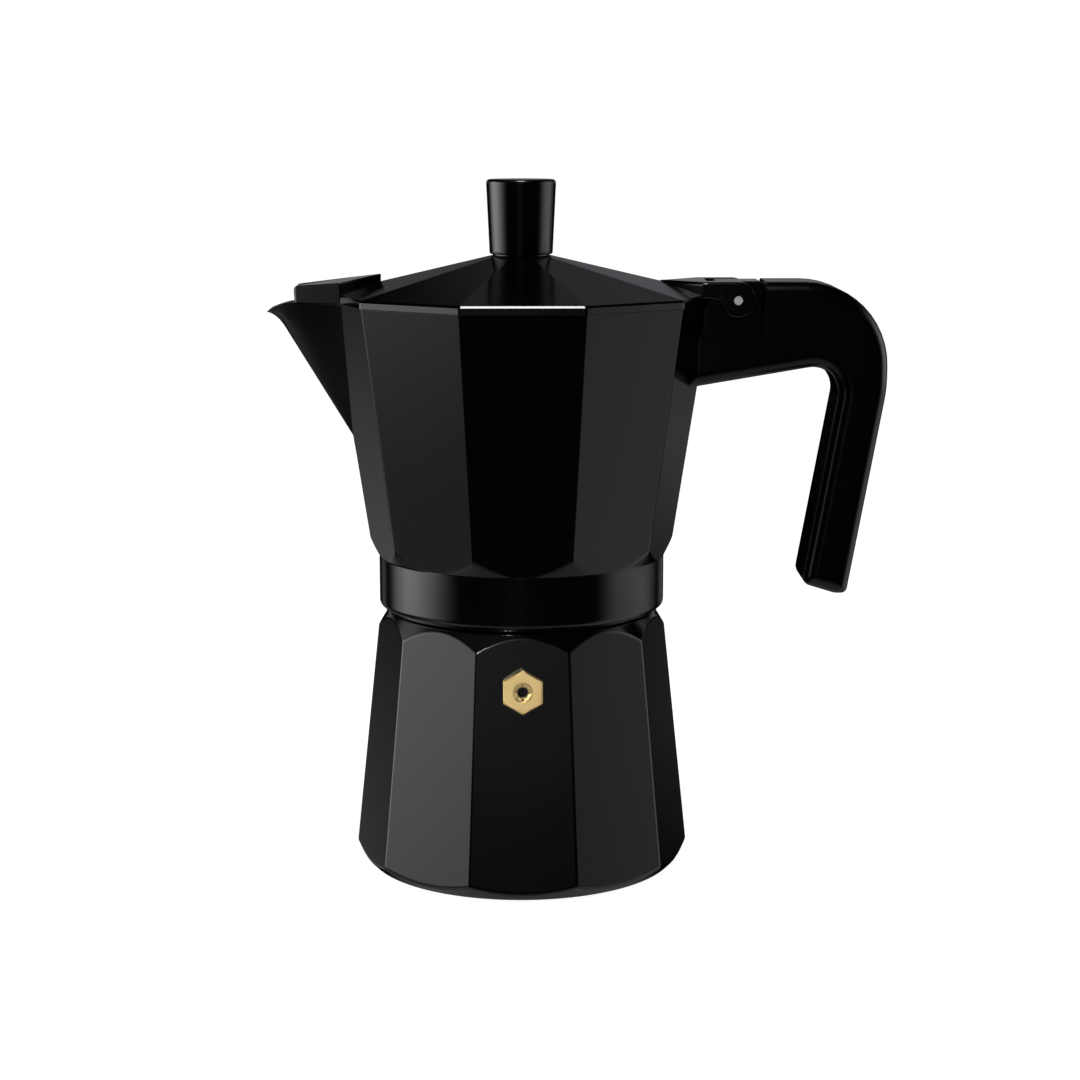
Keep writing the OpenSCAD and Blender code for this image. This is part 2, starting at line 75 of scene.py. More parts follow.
BOILER_LEAN = math.radians(5.75)
COLLECTOR_LEAN = math.radians(8.28)
ROOF_SLOPE = math.tan(math.radians(13.76))
BOILER_TAPER = math.tan(BOILER_LEAN) / COS_HALF
COLLECTOR_TAPER = math.tan(COLLECTOR_LEAN) / COS_HALF

BOILER_R = high("boiler", 0)     # corner radius just above the bottom chamfer
CHAMFER = 4.5
BOILER_H = 70.3                  # where the corners meet the shoulder
BOILER_WALL = 3.6
BOILER_FLOOR = 4.0
Z_NECK = high("boiler", 2)
Z_SHOULDER = Z_NECK - 10.4
SHOULDER_R = 38.8
NECK_R = 36.0                    # over the thread's crests
NECK_BORE = high("funnel_cup", 0) - 2.5
PITCH = 3.0                      # the thread's rise in one turn

Z_COLLAR = low("collector", 2)
Z_COLLAR_TOP = Z_COLLAR + 16.7
COLLAR_R = 41.55
COLLAR_BORE = NECK_R + 1.2
Z_RIM = high("spout", 2)
RIM_GAP = 0.15                   # the lid's and the rim's share of the gap between them
RIM_R = 54.83                    # corner radius in the middle of that gap
WALL = 2.8
Z_CEILING = high("filter_plate", 2) + 0.1
Z_CHAMBER = Z_CEILING + 6
GASKET_R = high("gasket", 0)

Z_LID = Z_RIM + 0.06
Z_EDGE = Z_RIM + 2.3
LID_SKIRT = 3.0                  # from the lid's edge in to its hollow
BEVEL = 0.55                     # across the lid's top edge
Z_SEAT = low("knob", 2)

hinge = [j for j in frame["joints"] if j["name"] == "lid_hinge"][0]
PIN_X, _, PIN_Z = [c / MM for c in hinge["pos_m"]]
Z_TOP = high("handle", 2)
KNUCKLE = 5.2                    # radius of the fork's round end
HALF = 12.0                      # half width of the hood, the fork and the handle
HOOD_TIP = 4.9                   # half width of the hood's blunt front
LUG_HALF = 6.4                   # half width of the hinge lug
LUG_FAR = PIN_X + 7.5            # its far side, inside the handle
Z_LUG = Z_TOP - 21.1             # the lug's foot, inside the handle
POCKET = 15.5                    # depth of the handle's side pockets

VALVE_Z = 59.65                  # height at which the valve's axis leaves the front facet


def boiler_corner(z):
    """Distance of the boiler's corners from the axis at height z: a straight taper up from the chamfer."""
    return BOILER_R - BOILER_TAPER * (z - CHAMFER)


def collector_corner(z):
    """Distance of the collector's corners from the axis at height z: a straight taper down from the rim."""
    return RIM_R - COLLECTOR_TAPER * (Z_RIM + RIM_GAP - z)


# ---------------------------------------------------------------- shapes worked out on grids

def ten_sided(theta, corner, edge=EDGE, sides=SIDES, turn=0.0):
    """Distance from the axis to a regular polygon at angle theta: apothem over the cosine of the angle from
    the side's middle and, next to a corner, the circle of radius `edge` that touches both sides."""
    half = math.pi / sides
    from_corner = np.abs((theta - turn + half) % (2 * half) - half)
    flat = corner * math.cos(half) / np.cos(half - from_corner)
    middle = corner - edge / math.cos(half)
    reach = np.arctan2(edge * math.sin(half), middle + edge * math.cos(half))
    aside = middle * np.sin(from_corner)
    arc = middle * np.cos(from_corner) + np.sqrt(np.maximum(edge ** 2 - aside ** 2, 0))
    return np.where(from_corner < reach, arc, flat)


def polar(radius, theta, z):
    """Points at the given distances and angles about the Z axis."""
    radius, theta, z = np.broadcast_arrays(radius, theta, z)
    return np.stack([radius * np.cos(theta), radius * np.sin(theta), z], -1).astype(float)


def softened(corners, soft, steps=4):
    """Rows along a path whose corners are rows themselves: each inner corner becomes a quadratic curve that
    starts and ends `soft` before and after it, with one more row beside each end to keep the flats flat."""
    rows = [corners[0]]
    for k in range(1, len(corners) - 1):
        here = corners[k]
        back = corners[k - 1] - here
        ahead = corners[k + 1] - here
        back_len = np.maximum(np.linalg.norm(back, axis=-1, keepdims=True), 1e-9)
        ahead_len = np.maximum(np.linalg.norm(ahead, axis=-1, keepdims=True), 1e-9)
        start = back / back_len * np.minimum(soft[k - 1], 0.42 * back_len)
        end = ahead / ahead_len * np.minimum(soft[k - 1], 0.42 * ahead_len)
        if soft[k - 1] == 0:
            rows.append(here)
            continue
        rows.append(here + start * 1.15)
        for w in np.linspace(0, 1, steps + 1):
            rows.append(here + start * (1 - w) ** 2 + end * w ** 2)
        rows.append(here + end * 1.15)
    rows.append(corners[-1])
    return np.array(rows)


def turned(profile, soft, columns=96, steps=4):
    """A profile of (radius, height) corners, softened, carried once round the Z axis."""
    theta = np.linspace(0, 2 * math.pi, columns + 1)
    return softened([polar(r, theta, z) for r, z in profile], soft, steps)


def outline(corners, inset=0.0, arc=7):
    """A closed outline from corners (x, y, radius), run anticlockwise: every side is moved inwards by
    `inset`, and every corner is an arc between the moved sides, tighter outside and wider inside."""
    c = np.array(corners, float)
    p = c[:, :2]
    ahead = np.roll(p, -1, 0) - p
    ahead /= np.linalg.norm(ahead, axis=1)[:, None]
    back = np.roll(ahead, 1, 0)
    inward = np.stack([-ahead[:, 1], ahead[:, 0]], 1)
    inward_back = np.roll(inward, 1, 0)
    cross = back[:, 0] * ahead[:, 1] - back[:, 1] * ahead[:, 0]
    turn = np.arctan2(cross, (back * ahead).sum(1))
    middle = inward + inward_back
    middle /= np.linalg.norm(middle, axis=1)[:, None]
    moved = p + middle * (inset / np.cos(turn / 2))[:, None]
    radius = np.where(turn > 0, np.maximum(c[:, 2] - inset, 0.15), c[:, 2] + inset)
    run = radius * np.tan(np.abs(turn) / 2)
    start = moved - back * run[:, None]
    centre = start + inward_back * (np.sign(turn) * radius)[:, None]
    spoke = start - centre
    w = turn[:, None] * np.linspace(0, 1, arc)[None]
    x = centre[:, :1] + spoke[:, :1] * np.cos(w) - spoke[:, 1:] * np.sin(w)
    y = centre[:, 1:] + spoke[:, :1] * np.sin(w) + spoke[:, 1:] * np.cos(w)
    return np.stack([x.ravel(), y.ravel()], 1)


def closed(row):
    """A row of points with its first point again at its end."""
    return np.concatenate([row, row[:1]])


def bar(corners, near, far, edge, arc=7, steps=5):
    """An outline in the XZ plane carried along Y from near to far, its long edges rounded to radius `edge`:
    towards each end the outline shrinks inwards as a quarter circle does."""
    turns = np.linspace(0, math.pi / 2, steps + 1)
    stations = [(near + edge * (1 - math.cos(w)), edge * (1 - math.sin(w))) for w in turns]
    stations.append((near + edge * 1.2, 0.0))
    stations += [(near + far - y, inset) for y, inset in reversed(stations)]
    rows = []
    for y, inset in stations:
        o = closed(outline(corners, inset, arc))
        rows.append(np.stack([o[:, 0], np.full(len(o), y), o[:, 1]], 1))
    return np.array(rows)


def capped(grid):
    """A carried outline and its two end faces."""
    return [grid], [grid[0, :-1], grid[-1, :-1]]


def box_block(x0, x1, y0, y1, z0, z1):
    """A plain block, used only to cut with."""
    corners = [(x0, z0, 0.01), (x1, z0, 0.01), (x1, z1, 0.01), (x0, z1, 0.01)]
    return bar(corners, y0, y1, 0.01, arc=2, steps=1)


# ---------------------------------------------------------------- meshes

def make_mesh(name, patches, caps=(), sharp=32.0):
    """One closed mesh from grids of points and flat caps: shared points are joined, faces turned outwards,
    and edges sharper than `sharp` degrees stay crisp."""
    points = []
    faces = []
    count = 0
    for grid in patches:
        rows, columns = grid.shape[:2]
        i, j = np.meshgrid(np.arange(rows - 1), np.arange(columns - 1), indexing="ij")
        a = (count + i * columns + j).ravel()
        faces += np.stack([a, a + 1, a + columns + 1, a + columns], 1).tolist()
        points.append(grid.reshape(-1, 3))
        count += rows * columns
    for loop in caps:
        faces.append(list(range(count, count + len(loop))))
        points.append(loop)
        count += len(loop)
    mesh = bpy.data.meshes.new(name)
    mesh.from_pydata((np.concatenate(points) * MM).tolist(), [], faces)
    joined = bmesh.new()
    joined.from_mesh(mesh)
    bmesh.ops.remove_doubles(joined, verts=joined.verts, dist=2e-6)
    bmesh.ops.dissolve_degenerate(joined, edges=joined.edges, dist=1e-7)
    bmesh.ops.recalc_face_normals(joined, faces=joined.faces)
    joined.to_mesh(mesh)
    joined.free()
    mesh.shade_smooth()
    mesh.set_sharp_from_angle(angle=math.radians(sharp))
    made = bpy.data.objects.new(name, mesh)
    bpy.context.scene.collection.objects.link(made)
    return made


def settle(target):
    """Turns what the target's modifiers make into its own mesh."""
    bpy.context.view_layer.update()
    graph = bpy.context.evaluated_depsgraph_get()
    mesh = bpy.data.meshes.new_from_object(target.evaluated_get(graph))
    target.modifiers.clear()
    old = target.data
    target.data = mesh
    bpy.data.meshes.remove(old)
    mesh.name = target.name


def carve(target, cutter, how="DIFFERENCE", sharp=32.0):
    """Joins or cuts target with cutter, which is used up."""
    step = target.modifiers.new(how.lower(), "BOOLEAN")
    step.operation = how
    step.solver = "EXACT"
    step.object = cutter
    settle(target)
    bpy.data.objects.remove(cutter)
    target.data.shade_smooth()
    target.data.set_sharp_from_angle(angle=math.radians(sharp))
    return target


def place(piece, body, slot, finish, *nodes):
    """Keeps the flats of a piece flat beside its rounded edges, rides it on its body, gives it its finish
    and hides the CAD nodes that it stands for."""
    weigh = piece.modifiers.new("weigh", "WEIGHTED_NORMAL")
    weigh.keep_sharp = True
    settle(piece)
    piece.data.materials.clear()
    piece.data.materials.append(finish)
    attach(piece, body)
    if nodes:
        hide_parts(*nodes)
    return piece


# ---------------------------------------------------------------- materials

UNEVEN_MM = 14.0                 # size of the slow unevenness in a coated or moulded surface
CLOUD_MM = 6.0                   # size of the clouds in a turned or spun surface


def colour(text):
    """Linear colour from an sRGB hex value."""
    s = np.array([int(text[i:i + 2], 16) for i in (1, 3, 5)]) / 255
    linear = np.where(s <= 0.04045, s / 12.92, ((s + 0.055) / 1.055) ** 2.4)
    return (*linear.tolist(), 1.0)


def add(tree, kind, settings=None, inputs=None, links=None):
    """One node: its settings, the values of its inputs, and what feeds them."""
    node = tree.nodes.new(kind)
    for key, value in (settings or {}).items():
        setattr(node, key, value)
    for key, value in (inputs or {}).items():
        node.inputs[key].default_value = value
    for key, source in (links or {}).items():
        tree.links.new(source, node.inputs[key])
    return node


def new_finish(name):
    """An empty material and its node tree."""
    finish = bpy.data.materials.new(name)
    finish.use_nodes = True
    tree = finish.node_tree
    tree.nodes.clear()
    return finish, tree


def finish_output(tree, shader):
    """Makes a shader the surface of its material."""
    add(tree, "ShaderNodeOutputMaterial", links={"Surface": shader.outputs[0]})


def two_toned(tree, fine, broad, share, span, tones, rough, swing, bump_mm, metallic=1.0, level=0.5):
    """The shader of a surface: a fine and a broad pattern, mixed, lead from one of two close colours to the
    other and from the rough less its swing to the rough more its swing, and the fine one is also the bump."""
    both = add(tree, "ShaderNodeMix", {"data_type": "FLOAT"}, {"Factor": share},
               {"A": fine.outputs["Fac"], "B": broad.outputs["Fac"]}).outputs["Result"]
    tint = add(tree, "ShaderNodeMix", {"data_type": "RGBA"}, {"A": colour(tones[0]), "B": colour(tones[1])},
               {"Factor": both})
    sheen = add(tree, "ShaderNodeMapRange", None,
                {"From Min": span[0], "From Max": span[1], "To Min": rough - swing, "To Max": rough + swing},
                {"Value": both})
    bump = add(tree, "ShaderNodeBump", None, {"Strength": 1.0, "Distance": bump_mm * MM},
               {"Height": fine.outputs["Fac"]})
    return add(tree, "ShaderNodeBsdfPrincipled", None, {"Metallic": metallic, "Specular IOR Level": level},
               {"Base Color": tint.outputs["Result"], "Roughness": sheen.outputs["Result"],
                "Normal": bump.outputs["Normal"]})


def speckled(name, dark, light, rough, swing, grain_mm, bump_mm, level=0.5, metallic=0.0):
    """A coated, moulded or tumbled surface: a fine grain over a slow unevenness."""
    finish, tree = new_finish(name)
    place_at = add(tree, "ShaderNodeTexCoord").outputs["Object"]
    grain = add(tree, "ShaderNodeTexNoise", None,
                {"Scale": 1 / (grain_mm * MM), "Detail": 3.0, "Roughness": 0.6}, {"Vector": place_at})
    slow = add(tree, "ShaderNodeTexNoise", None, {"Scale": 1 / (UNEVEN_MM * MM), "Detail": 2.0},
               {"Vector": place_at})
    tones = (dark, light)
    shader = two_toned(tree, grain, slow, 0.5, (0.3, 0.7), tones, rough, swing, bump_mm, metallic, level)
    finish_output(tree, shader)
    return finish


def ringed(name, dark, light, rough, swing, ring_mm, bump_mm):
    """Turned or spun metal: fine rings about the pot's axis, uneven along their way, under faint clouds."""
    finish, tree = new_finish(name)
    place_at = add(tree, "ShaderNodeTexCoord").outputs["Object"]
    rings = add(tree, "ShaderNodeTexWave",
                {"wave_type": "RINGS", "rings_direction": "Z", "wave_profile": "SIN"},
                {"Scale": 1 / (ring_mm * MM) / 6.2832, "Distortion": 1.5, "Detail": 2.0, "Detail Scale": 2.0},
                {"Vector": place_at})
    cloud = add(tree, "ShaderNodeTexNoise", None, {"Scale": 1 / (CLOUD_MM * MM), "Detail": 3.0},
                {"Vector": place_at})
    finish_output(tree, two_toned(tree, rings, cloud, 0.45, (0, 1), (dark, light), rough, swing, bump_mm))
    return finish


# Grain and rings of their real size wouldn't show, so they are drawn 0.4 to 0.8 mm wide, a few times that.
# Only the coat's orange peel is as wide as the real one.

# Satin black silicone-polyester coat on die-cast aluminium: deep black, with soft reflections and a faint
# orange peel
coat = speckled("satin_black_coat_on_cast_aluminium", "#020202", "#040404", 0.15, 0.02, 0.7, 0.0006)
# Moulded black phenolic plastic of the handle and the knob: a shade blacker and duller than the coat
phenolic = speckled("moulded_black_phenolic", "#020202", "#030303", 0.19, 0.02, 0.5, 0.0006)
# Bare cast and turned aluminium inside: pale grey with fine rings
bare = ringed("turned_cast_aluminium", "#B9BABC", "#D9DADB", 0.36, 0.06, 0.5, 0.004)
# Spun sheet aluminium of the funnel and the filter: a little brighter and smoother, with finer rings
spun = ringed("spun_aluminium_sheet", "#C4C5C6", "#E2E2E3", 0.28, 0.05, 0.4, 0.003)
# Turned brass of the valve and the knob's insert: warm yellow, satin, with a fine grain
brass = speckled("turned_brass", "#D2B478", "#E2C88C", 0.42, 0.04, 0.4, 0.0015, metallic=1.0)
# Plated steel of the screws, the washer and the valve's ball and spring: light grey and satin
steel = speckled("plated_steel", "#A9A9AA", "#C9C9CA", 0.30, 0.06, 0.5, 0.002, metallic=1.0)
# Tumbled, zinc-plated steel of the hinge pin: matt and pale
matt = speckled("tumbled_plated_steel", "#BEBEBF", "#D4D4D5", 0.6, 0.05, 0.4, 0.002, metallic=1.0)
# White food-grade silicone of the gasket: milky and soft
silicone = speckled("white_silicone", "#D9D7D0", "#E6E4DE", 0.55, 0.04, 0.8, 0.005, level=0.4)


# ---------------------------------------------------------------- boiler

def facet_angles():
    """Angles of the mesh's columns: close together in the rounded edges, wider across the facets, from the
    spout's corner once round and back to it."""
    middle = 180 / SIDES
    edge = np.array([0, 0.12, 0.24, 0.36, 0.48, 0.85])
    flat = np.arange(3.5, middle, 2.9)
    half = np.concatenate([edge, flat, [middle]])
    one = np.radians(np.concatenate([half, 2 * middle - half[-2:0:-1]]))
    return np.concatenate([math.pi + k * SECTOR + one for k in range(SIDES)] + [[math.pi + 2 * math.pi]])


COLUMNS = facet_angles()


def meets(theta, corner_at, z_of_radius, start):
    """Height at which the facets meet a cone, found by stepping between the two until they agree."""
    z = np.full(len(theta), float(start))
    for _ in range(25):
        z = z_of_radius(ten_sided(theta, corner_at(z)))
    return z


def thread_rows(first, last, count, radius, height, phase):
    """A thread from height `first` to height `last`: the radius grows by `height` times a raised cosine of
    the turn, to a power that narrows the crests. The turn is z over the pitch less the angle's share of one,
    and both ends run out over 1 mm."""
    z = np.linspace(first, last, count)[:, None]
    turns = (z / PITCH - COLUMNS[None] / (2 * math.pi) + phase) % 1.0
    run_out = np.clip(np.minimum(np.abs(z - first), np.abs(last - z)), 0, 1)
    crest = 0.5 - 0.5 * np.cos(2 * math.pi * turns)
    return polar(radius + height * run_out * crest ** 1.3, COLUMNS[None], z)


def make_boiler():
    """Outside, the ten facets between a 45 degree cone at the foot and the shoulder's cone, which cut them in
    scallops; then the neck with its thread; inside, round walls a wall's thickness within the facets."""
    th = COLUMNS
    foot_r = BOILER_R - CHAMFER
    z_foot = meets(th, boiler_corner, lambda r: r - foot_r, CHAMFER)
    top_r = boiler_corner(BOILER_H)
    slope = (Z_SHOULDER - BOILER_H) / (top_r - SHOULDER_R)
    z_top = meets(th, boiler_corner, lambda r: BOILER_H + (top_r - r) * slope, BOILER_H)
    root_r = NECK_R - 0.6
    outside = softened([
        polar(0, th, 0), polar(foot_r, th, 0), polar(ten_sided(th, boiler_corner(z_foot)), th, z_foot),
        polar(ten_sided(th, boiler_corner(z_top)), th, z_top), polar(SHOULDER_R, th, Z_SHOULDER),
        polar(root_r, th, Z_SHOULDER), polar(root_r, th, Z_SHOULDER + 1.2)],
        [0.8, 0.7, 0.45, 0.6, 0.4])
    thread = thread_rows(Z_SHOULDER + 1.4, Z_NECK - 1.0, 44, root_r, 1.0, 0)
    z_floor = low("boiler", 2) + BOILER_FLOOR
    z_wall = z_floor + 6
    z_upper = BOILER_H - 9
    wall_r = boiler_corner(z_wall) * COS_HALF - BOILER_WALL
    upper_r = boiler_corner(z_upper) * COS_HALF - BOILER_WALL
    inside = softened([
        polar(root_r, th, Z_NECK - 0.8), polar(NECK_R - 1.0, th, Z_NECK), polar(NECK_BORE, th, Z_NECK),
        polar(NECK_BORE, th, BOILER_H + 1), polar(upper_r, th, z_upper), polar(wall_r, th, z_wall),
        polar(wall_r - 5, th, z_floor), polar(0, th, z_floor)],
        [0.3, 0.4, 1.2, 4, 3, 3])
    piece = make_mesh("boiler_shell", [np.concatenate([outside, thread, inside])])
    return place(piece, "base", "black_coat", coat, "boiler")


make_boiler()


# ---------------------------------------------------------------- collector

SPOUT_TIP = -low("spout", 0)
SPOUT_HALF = 11.5
SPOUT_WALL = 2.0
SPOUT_NOSE = 2.2                 # half width of the spout's blunt end
FALL_FROM = 66.0                 # from here outwards the spout's rim falls
TIP_FALL = 3.0
Z_KEEL = low("spout", 2)
Z_MID = 110.0                    # a row of the wall between the collar and the spout
Z_LAST = Z_RIM - 1.6             # the last row of both walls, under the rim
Z_BORE = low("gasket", 2) + 0.6  # where the bore narrows under the gasket
FLIP = np.array([1, -1, 1])      # from the spout's one side to the other
CLOSER = 1 - np.cos(np.linspace(0, math.pi / 2, 20))  # rows from 0 to 1 that lie closer near 0


def inner_radius(z):
    """Radius of the round inner wall at height z: it stands a wall's thickness within the facets."""
    return collector_corner(z) * COS_HALF - WALL


def spout_rim(t, inset):
    """Half of the spout's rim from the body, t = 0, to the tip, t = 1: in plan a line that runs in, a little
    hollow, to a rounded end, and in height level at first and then falling to the tip."""
    half = SPOUT_HALF - inset
    if inset == 0:
        start = RIM_R - SPOUT_HALF * TAN_HALF
    else:
        start = math.sqrt(inner_radius(Z_RIM) ** 2 - half ** 2)
    tip = SPOUT_TIP - 0.8 * inset
    x = start + (tip - start) * t
    blunt = SPOUT_NOSE - 0.8 * inset
    y = (blunt + (half - blunt) * (1 - t) ** 1.25) * np.sqrt(1 - t ** 14)
    fall = np.clip((x - FALL_FROM) / (SPOUT_TIP - FALL_FROM), 0, 1)
    z = Z_RIM - (TIP_FALL - 0.25 * inset) * fall ** 1.6
    return np.stack([-x, y, z], -1)


def spout_keel(t, inset):
    """The keel from the body, t = 0, to the tip, t = 1: straight, then turning up under the lip."""
    z_foot = Z_KEEL + 2.4 * inset
    foot = inner_radius(z_foot) if inset > 0 else collector_corner(z_foot)
    # Distance from the axis and height, where the inset is 0, and how both change with it
    keel = np.array([[foot, z_foot], [SPOUT_TIP - 4.83, Z_RIM - 6.65], [SPOUT_TIP - 3.23, Z_RIM - 4.65],
                     [SPOUT_TIP - 1.63, Z_RIM - 3.55], [SPOUT_TIP, Z_RIM - TIP_FALL]])
    keel += inset * np.array([[0, 0], [-1.25, 0.9], [-1.1, 0.6], [-0.9, 0.4], [-0.8, 0.25]])
    at = np.array([0, 0.86, 0.915, 0.95, 1.0])
    return np.stack([-np.interp(t, at, keel[:, 0]), np.zeros_like(t), np.interp(t, at, keel[:, 1])], -1)


def spout_side(t, s, inset, crease):
    """The spout's side: straight lines from the keel, s = 0, to the rim, s = 1, whose half width starts as a
    hyperbola does, so that the keel is round, and at t = 0 led onto the crease with the body."""
    keel = spout_keel(t, inset)[None]
    rim = spout_rim(t, inset)[None]
    s = s[:, None, None]
    grid = keel + (rim - keel) * s
    nose = 0.08 * t[None, :]
    rounded = np.sqrt(s[..., 0] * (s[..., 0] + 2 * nose) / (1 + 2 * nose))
    grid[..., 1] = rim[..., 1] * rounded
    led = ((1 - t) ** 6)[None, :, None]
    return grid + (crease[:, None] - grid[:, :1]) * led


def body_angles(fold):
    """Angles of the body's columns on rows where the spout's crease stands `fold` away from the spout's
    corner: the two facets beside the spout share what is left between the crease and their far corner."""
    th = COLUMNS[None] - math.pi
    fold = fold[:, None]
    first = th < SECTOR
    last = th > 2 * math.pi - SECTOR
    near = fold + (SECTOR - fold) * th / SECTOR
    far = 2 * math.pi - fold - (SECTOR - fold) * (2 * math.pi - th) / SECTOR
    return math.pi + np.where(first, near, np.where(last, far, th))


def body_wall(z, angles):
    """The collector's facets on rows at heights z. The columns near the spout's corner, which stands at pi
    and again at 3 pi, go over from its rounding to a sharp fold where the spout begins."""
    radius = ten_sided(angles, collector_corner(z)[:, None])
    sharp = ten_sided(angles, collector_corner(z)[:, None], 1e-4)
    beside = np.abs(angles - math.pi) < 0.3
    beside |= np.abs(angles - 3 * math.pi) < 0.3
    spouted = np.clip((z - (Z_KEEL - 8)) / 8, 0, 1)[:, None]
    return polar(np.where(beside, radius + (sharp - radius) * spouted, radius), angles, z[:, None])


def outer_wall():
    """The facets from the collar up to the keel's foot and on beside the spout, in rows that lie closer near
    the foot, where each row ends on the spout's crease. The crease stands aside, on the facet, by the share
    of the spout's half width that the row has reached. Also gives those shares and the crease."""
    z = np.concatenate([[Z_MID + 3, Z_MID + 4, Z_KEEL - 8, Z_KEEL - 5, Z_KEEL - 2.5, Z_KEEL - 1],
                        Z_KEEL + (Z_LAST - Z_KEEL) * CLOSER])
    share = np.clip((z - Z_KEEL) / (Z_RIM - Z_KEEL), 0, 1)
    wall = outer_rows(z, share)
    beside = z >= Z_KEEL - 1e-6
    return wall, share[beside], wall[beside, 0] * FLIP


def outer_rows(z, share):
    """Rows of the facets at heights z whose crease has reached the given shares of the half width."""
    y = SPOUT_HALF * share
    return body_wall(z, body_angles(np.arctan2(y, collector_corner(z) - y * TAN_HALF)))


def inner_wall():
    """The round inner wall from the rim down to the chamber, which opens into the spout's channel in the
    same way. Also gives the shares and the channel's crease."""
    z_foot = Z_KEEL + 2.4 * SPOUT_WALL
    z = np.concatenate([z_foot + (Z_LAST - z_foot) * CLOSER[::-1], [z_foot - 1, z_foot - 4, Z_MID + 8]])
    share = np.clip((z - z_foot) / (Z_RIM - z_foot), 0, 1)
    wall = inner_rows(z, share)
    beside = z >= z_foot - 1e-6
    return wall, share[beside], wall[beside, 0] * FLIP


def inner_rows(z, share):
    """Rows of the inner wall at heights z whose crease has reached the given shares of the half width."""
    y = (SPOUT_HALF - SPOUT_WALL) * share
    angles = body_angles(np.arcsin(y / inner_radius(z)))
    return polar(inner_radius(z)[:, None], angles, z[:, None])


def bore_rows():
    """From the ceiling's middle out over the gasket and down the bore, whose thread stands inwards, half a
    turn away from the neck's."""
    th = COLUMNS
    seat_r = GASKET_R + 0.3
    under = softened([
        polar(0, th, Z_CEILING + 2), polar(19.5, th, Z_CEILING + 1.5), polar(25.5, th, Z_CEILING),
        polar(seat_r, th, Z_CEILING), polar(seat_r, th, Z_BORE), polar(COLLAR_BORE, th, Z_BORE),
        polar(COLLAR_BORE, th, Z_BORE - 1)], [0.5, 0.5, 0.3, 0.3, 0.4])
    thread = thread_rows(Z_BORE - 1.2, Z_COLLAR + 2.2, 40, COLLAR_BORE, -0.7, 0.5)
    return np.concatenate([under, thread])


def collar_rows():
    """From the bore's mouth round the collar's bevelled foot and up to its top, where a cone cuts the facets
    in scallops, and on up the facets."""
    th = COLUMNS
    cone = 1 / 0.62
    z_foot = Z_COLLAR + 0.8
    z_facet = meets(th, collector_corner, lambda r: Z_COLLAR_TOP + (r - COLLAR_R) * cone, Z_COLLAR_TOP)
    return softened([
        polar(COLLAR_BORE, th, z_foot + 1), polar(COLLAR_BORE + 0.5, th, z_foot),
        polar(COLLAR_R - 2.5, th, z_foot), polar(COLLAR_R, th, z_foot + 1.8),
        polar(COLLAR_R, th, Z_COLLAR_TOP), polar(ten_sided(th, collector_corner(z_facet)), th, z_facet),
        polar(ten_sided(th, collector_corner(Z_MID)), th, Z_MID)],
        [0.3, 0.4, 0.9, 0.35, 0.8])


def make_collector():
    """Two closed pieces that share a joint. The body runs from its ceiling down the threaded bore, round the
    collar and up the facets to the rim, and down a round inner wall to the floor. The spout is its two
    sides, outside and inside, and the lip between them."""
    wall, s_out, crease_out = outer_wall()
    inner, s_in, crease_in = inner_wall()
    z_top = np.array([Z_RIM])
    full = np.array([1.0])
    rim = softened([wall[-1], outer_rows(z_top, full)[0], inner_rows(z_top, full)[0], inner[0]], [0.12, 0.45])
    wall_foot = inner_radius(Z_CHAMBER)
    floor = softened([inner[-1], polar(wall_foot, COLUMNS, Z_CHAMBER + 5),
                      polar(wall_foot - 5, COLUMNS, Z_CHAMBER), polar(0, COLUMNS, Z_CHAMBER)], [3, 3])
    # The joint between the body and the spout: from the outer crease through the wall to the inner one
    joint = np.array([crease_out, crease_in[::-1]])
    joints = [joint, joint * FLIP]
    ends = [rim[:, 0], rim[:, 0] * FLIP]
    body = [np.concatenate([bore_rows(), collar_rows(), wall]), rim, np.concatenate([inner, floor])]
    place(make_mesh("collector_shell", body + joints, ends, 38), "upper", "black_coat", coat, "collector")
    # The columns run from the body to the tip, closer at both ends
    t = np.concatenate([[0, 0.015], np.linspace(0.05, 0.9, 22), [0.93, 0.96, 0.98, 1.0]])
    side = spout_side(t, s_out, 0, crease_out)
    channel = spout_side(t, s_in, SPOUT_WALL, crease_in)
    lip = softened([side[-1], spout_rim(t, 0), spout_rim(t, SPOUT_WALL), channel[0]], [0.5, 0.45])
    lip[:, 0] = rim[:, 0] * FLIP
    halves = [patch * turn for patch in (side, channel, lip) for turn in (1, FLIP)]
    spout = place(make_mesh("spout_beak", halves + joints, ends, 38), "upper", "black_coat", coat, "spout")
    spout.visible_glossy = False


make_collector()


def on_pin_axis(radius, columns):
    """A cylinder along the hinge pin's axis, used only to cut with."""
    grid = turned([(0, -20), (radius, -20), (radius, 20), (0, 20)], [0, 0], columns)
    return np.stack([grid[..., 0] + PIN_X, grid[..., 2], grid[..., 1] + PIN_Z], -1)


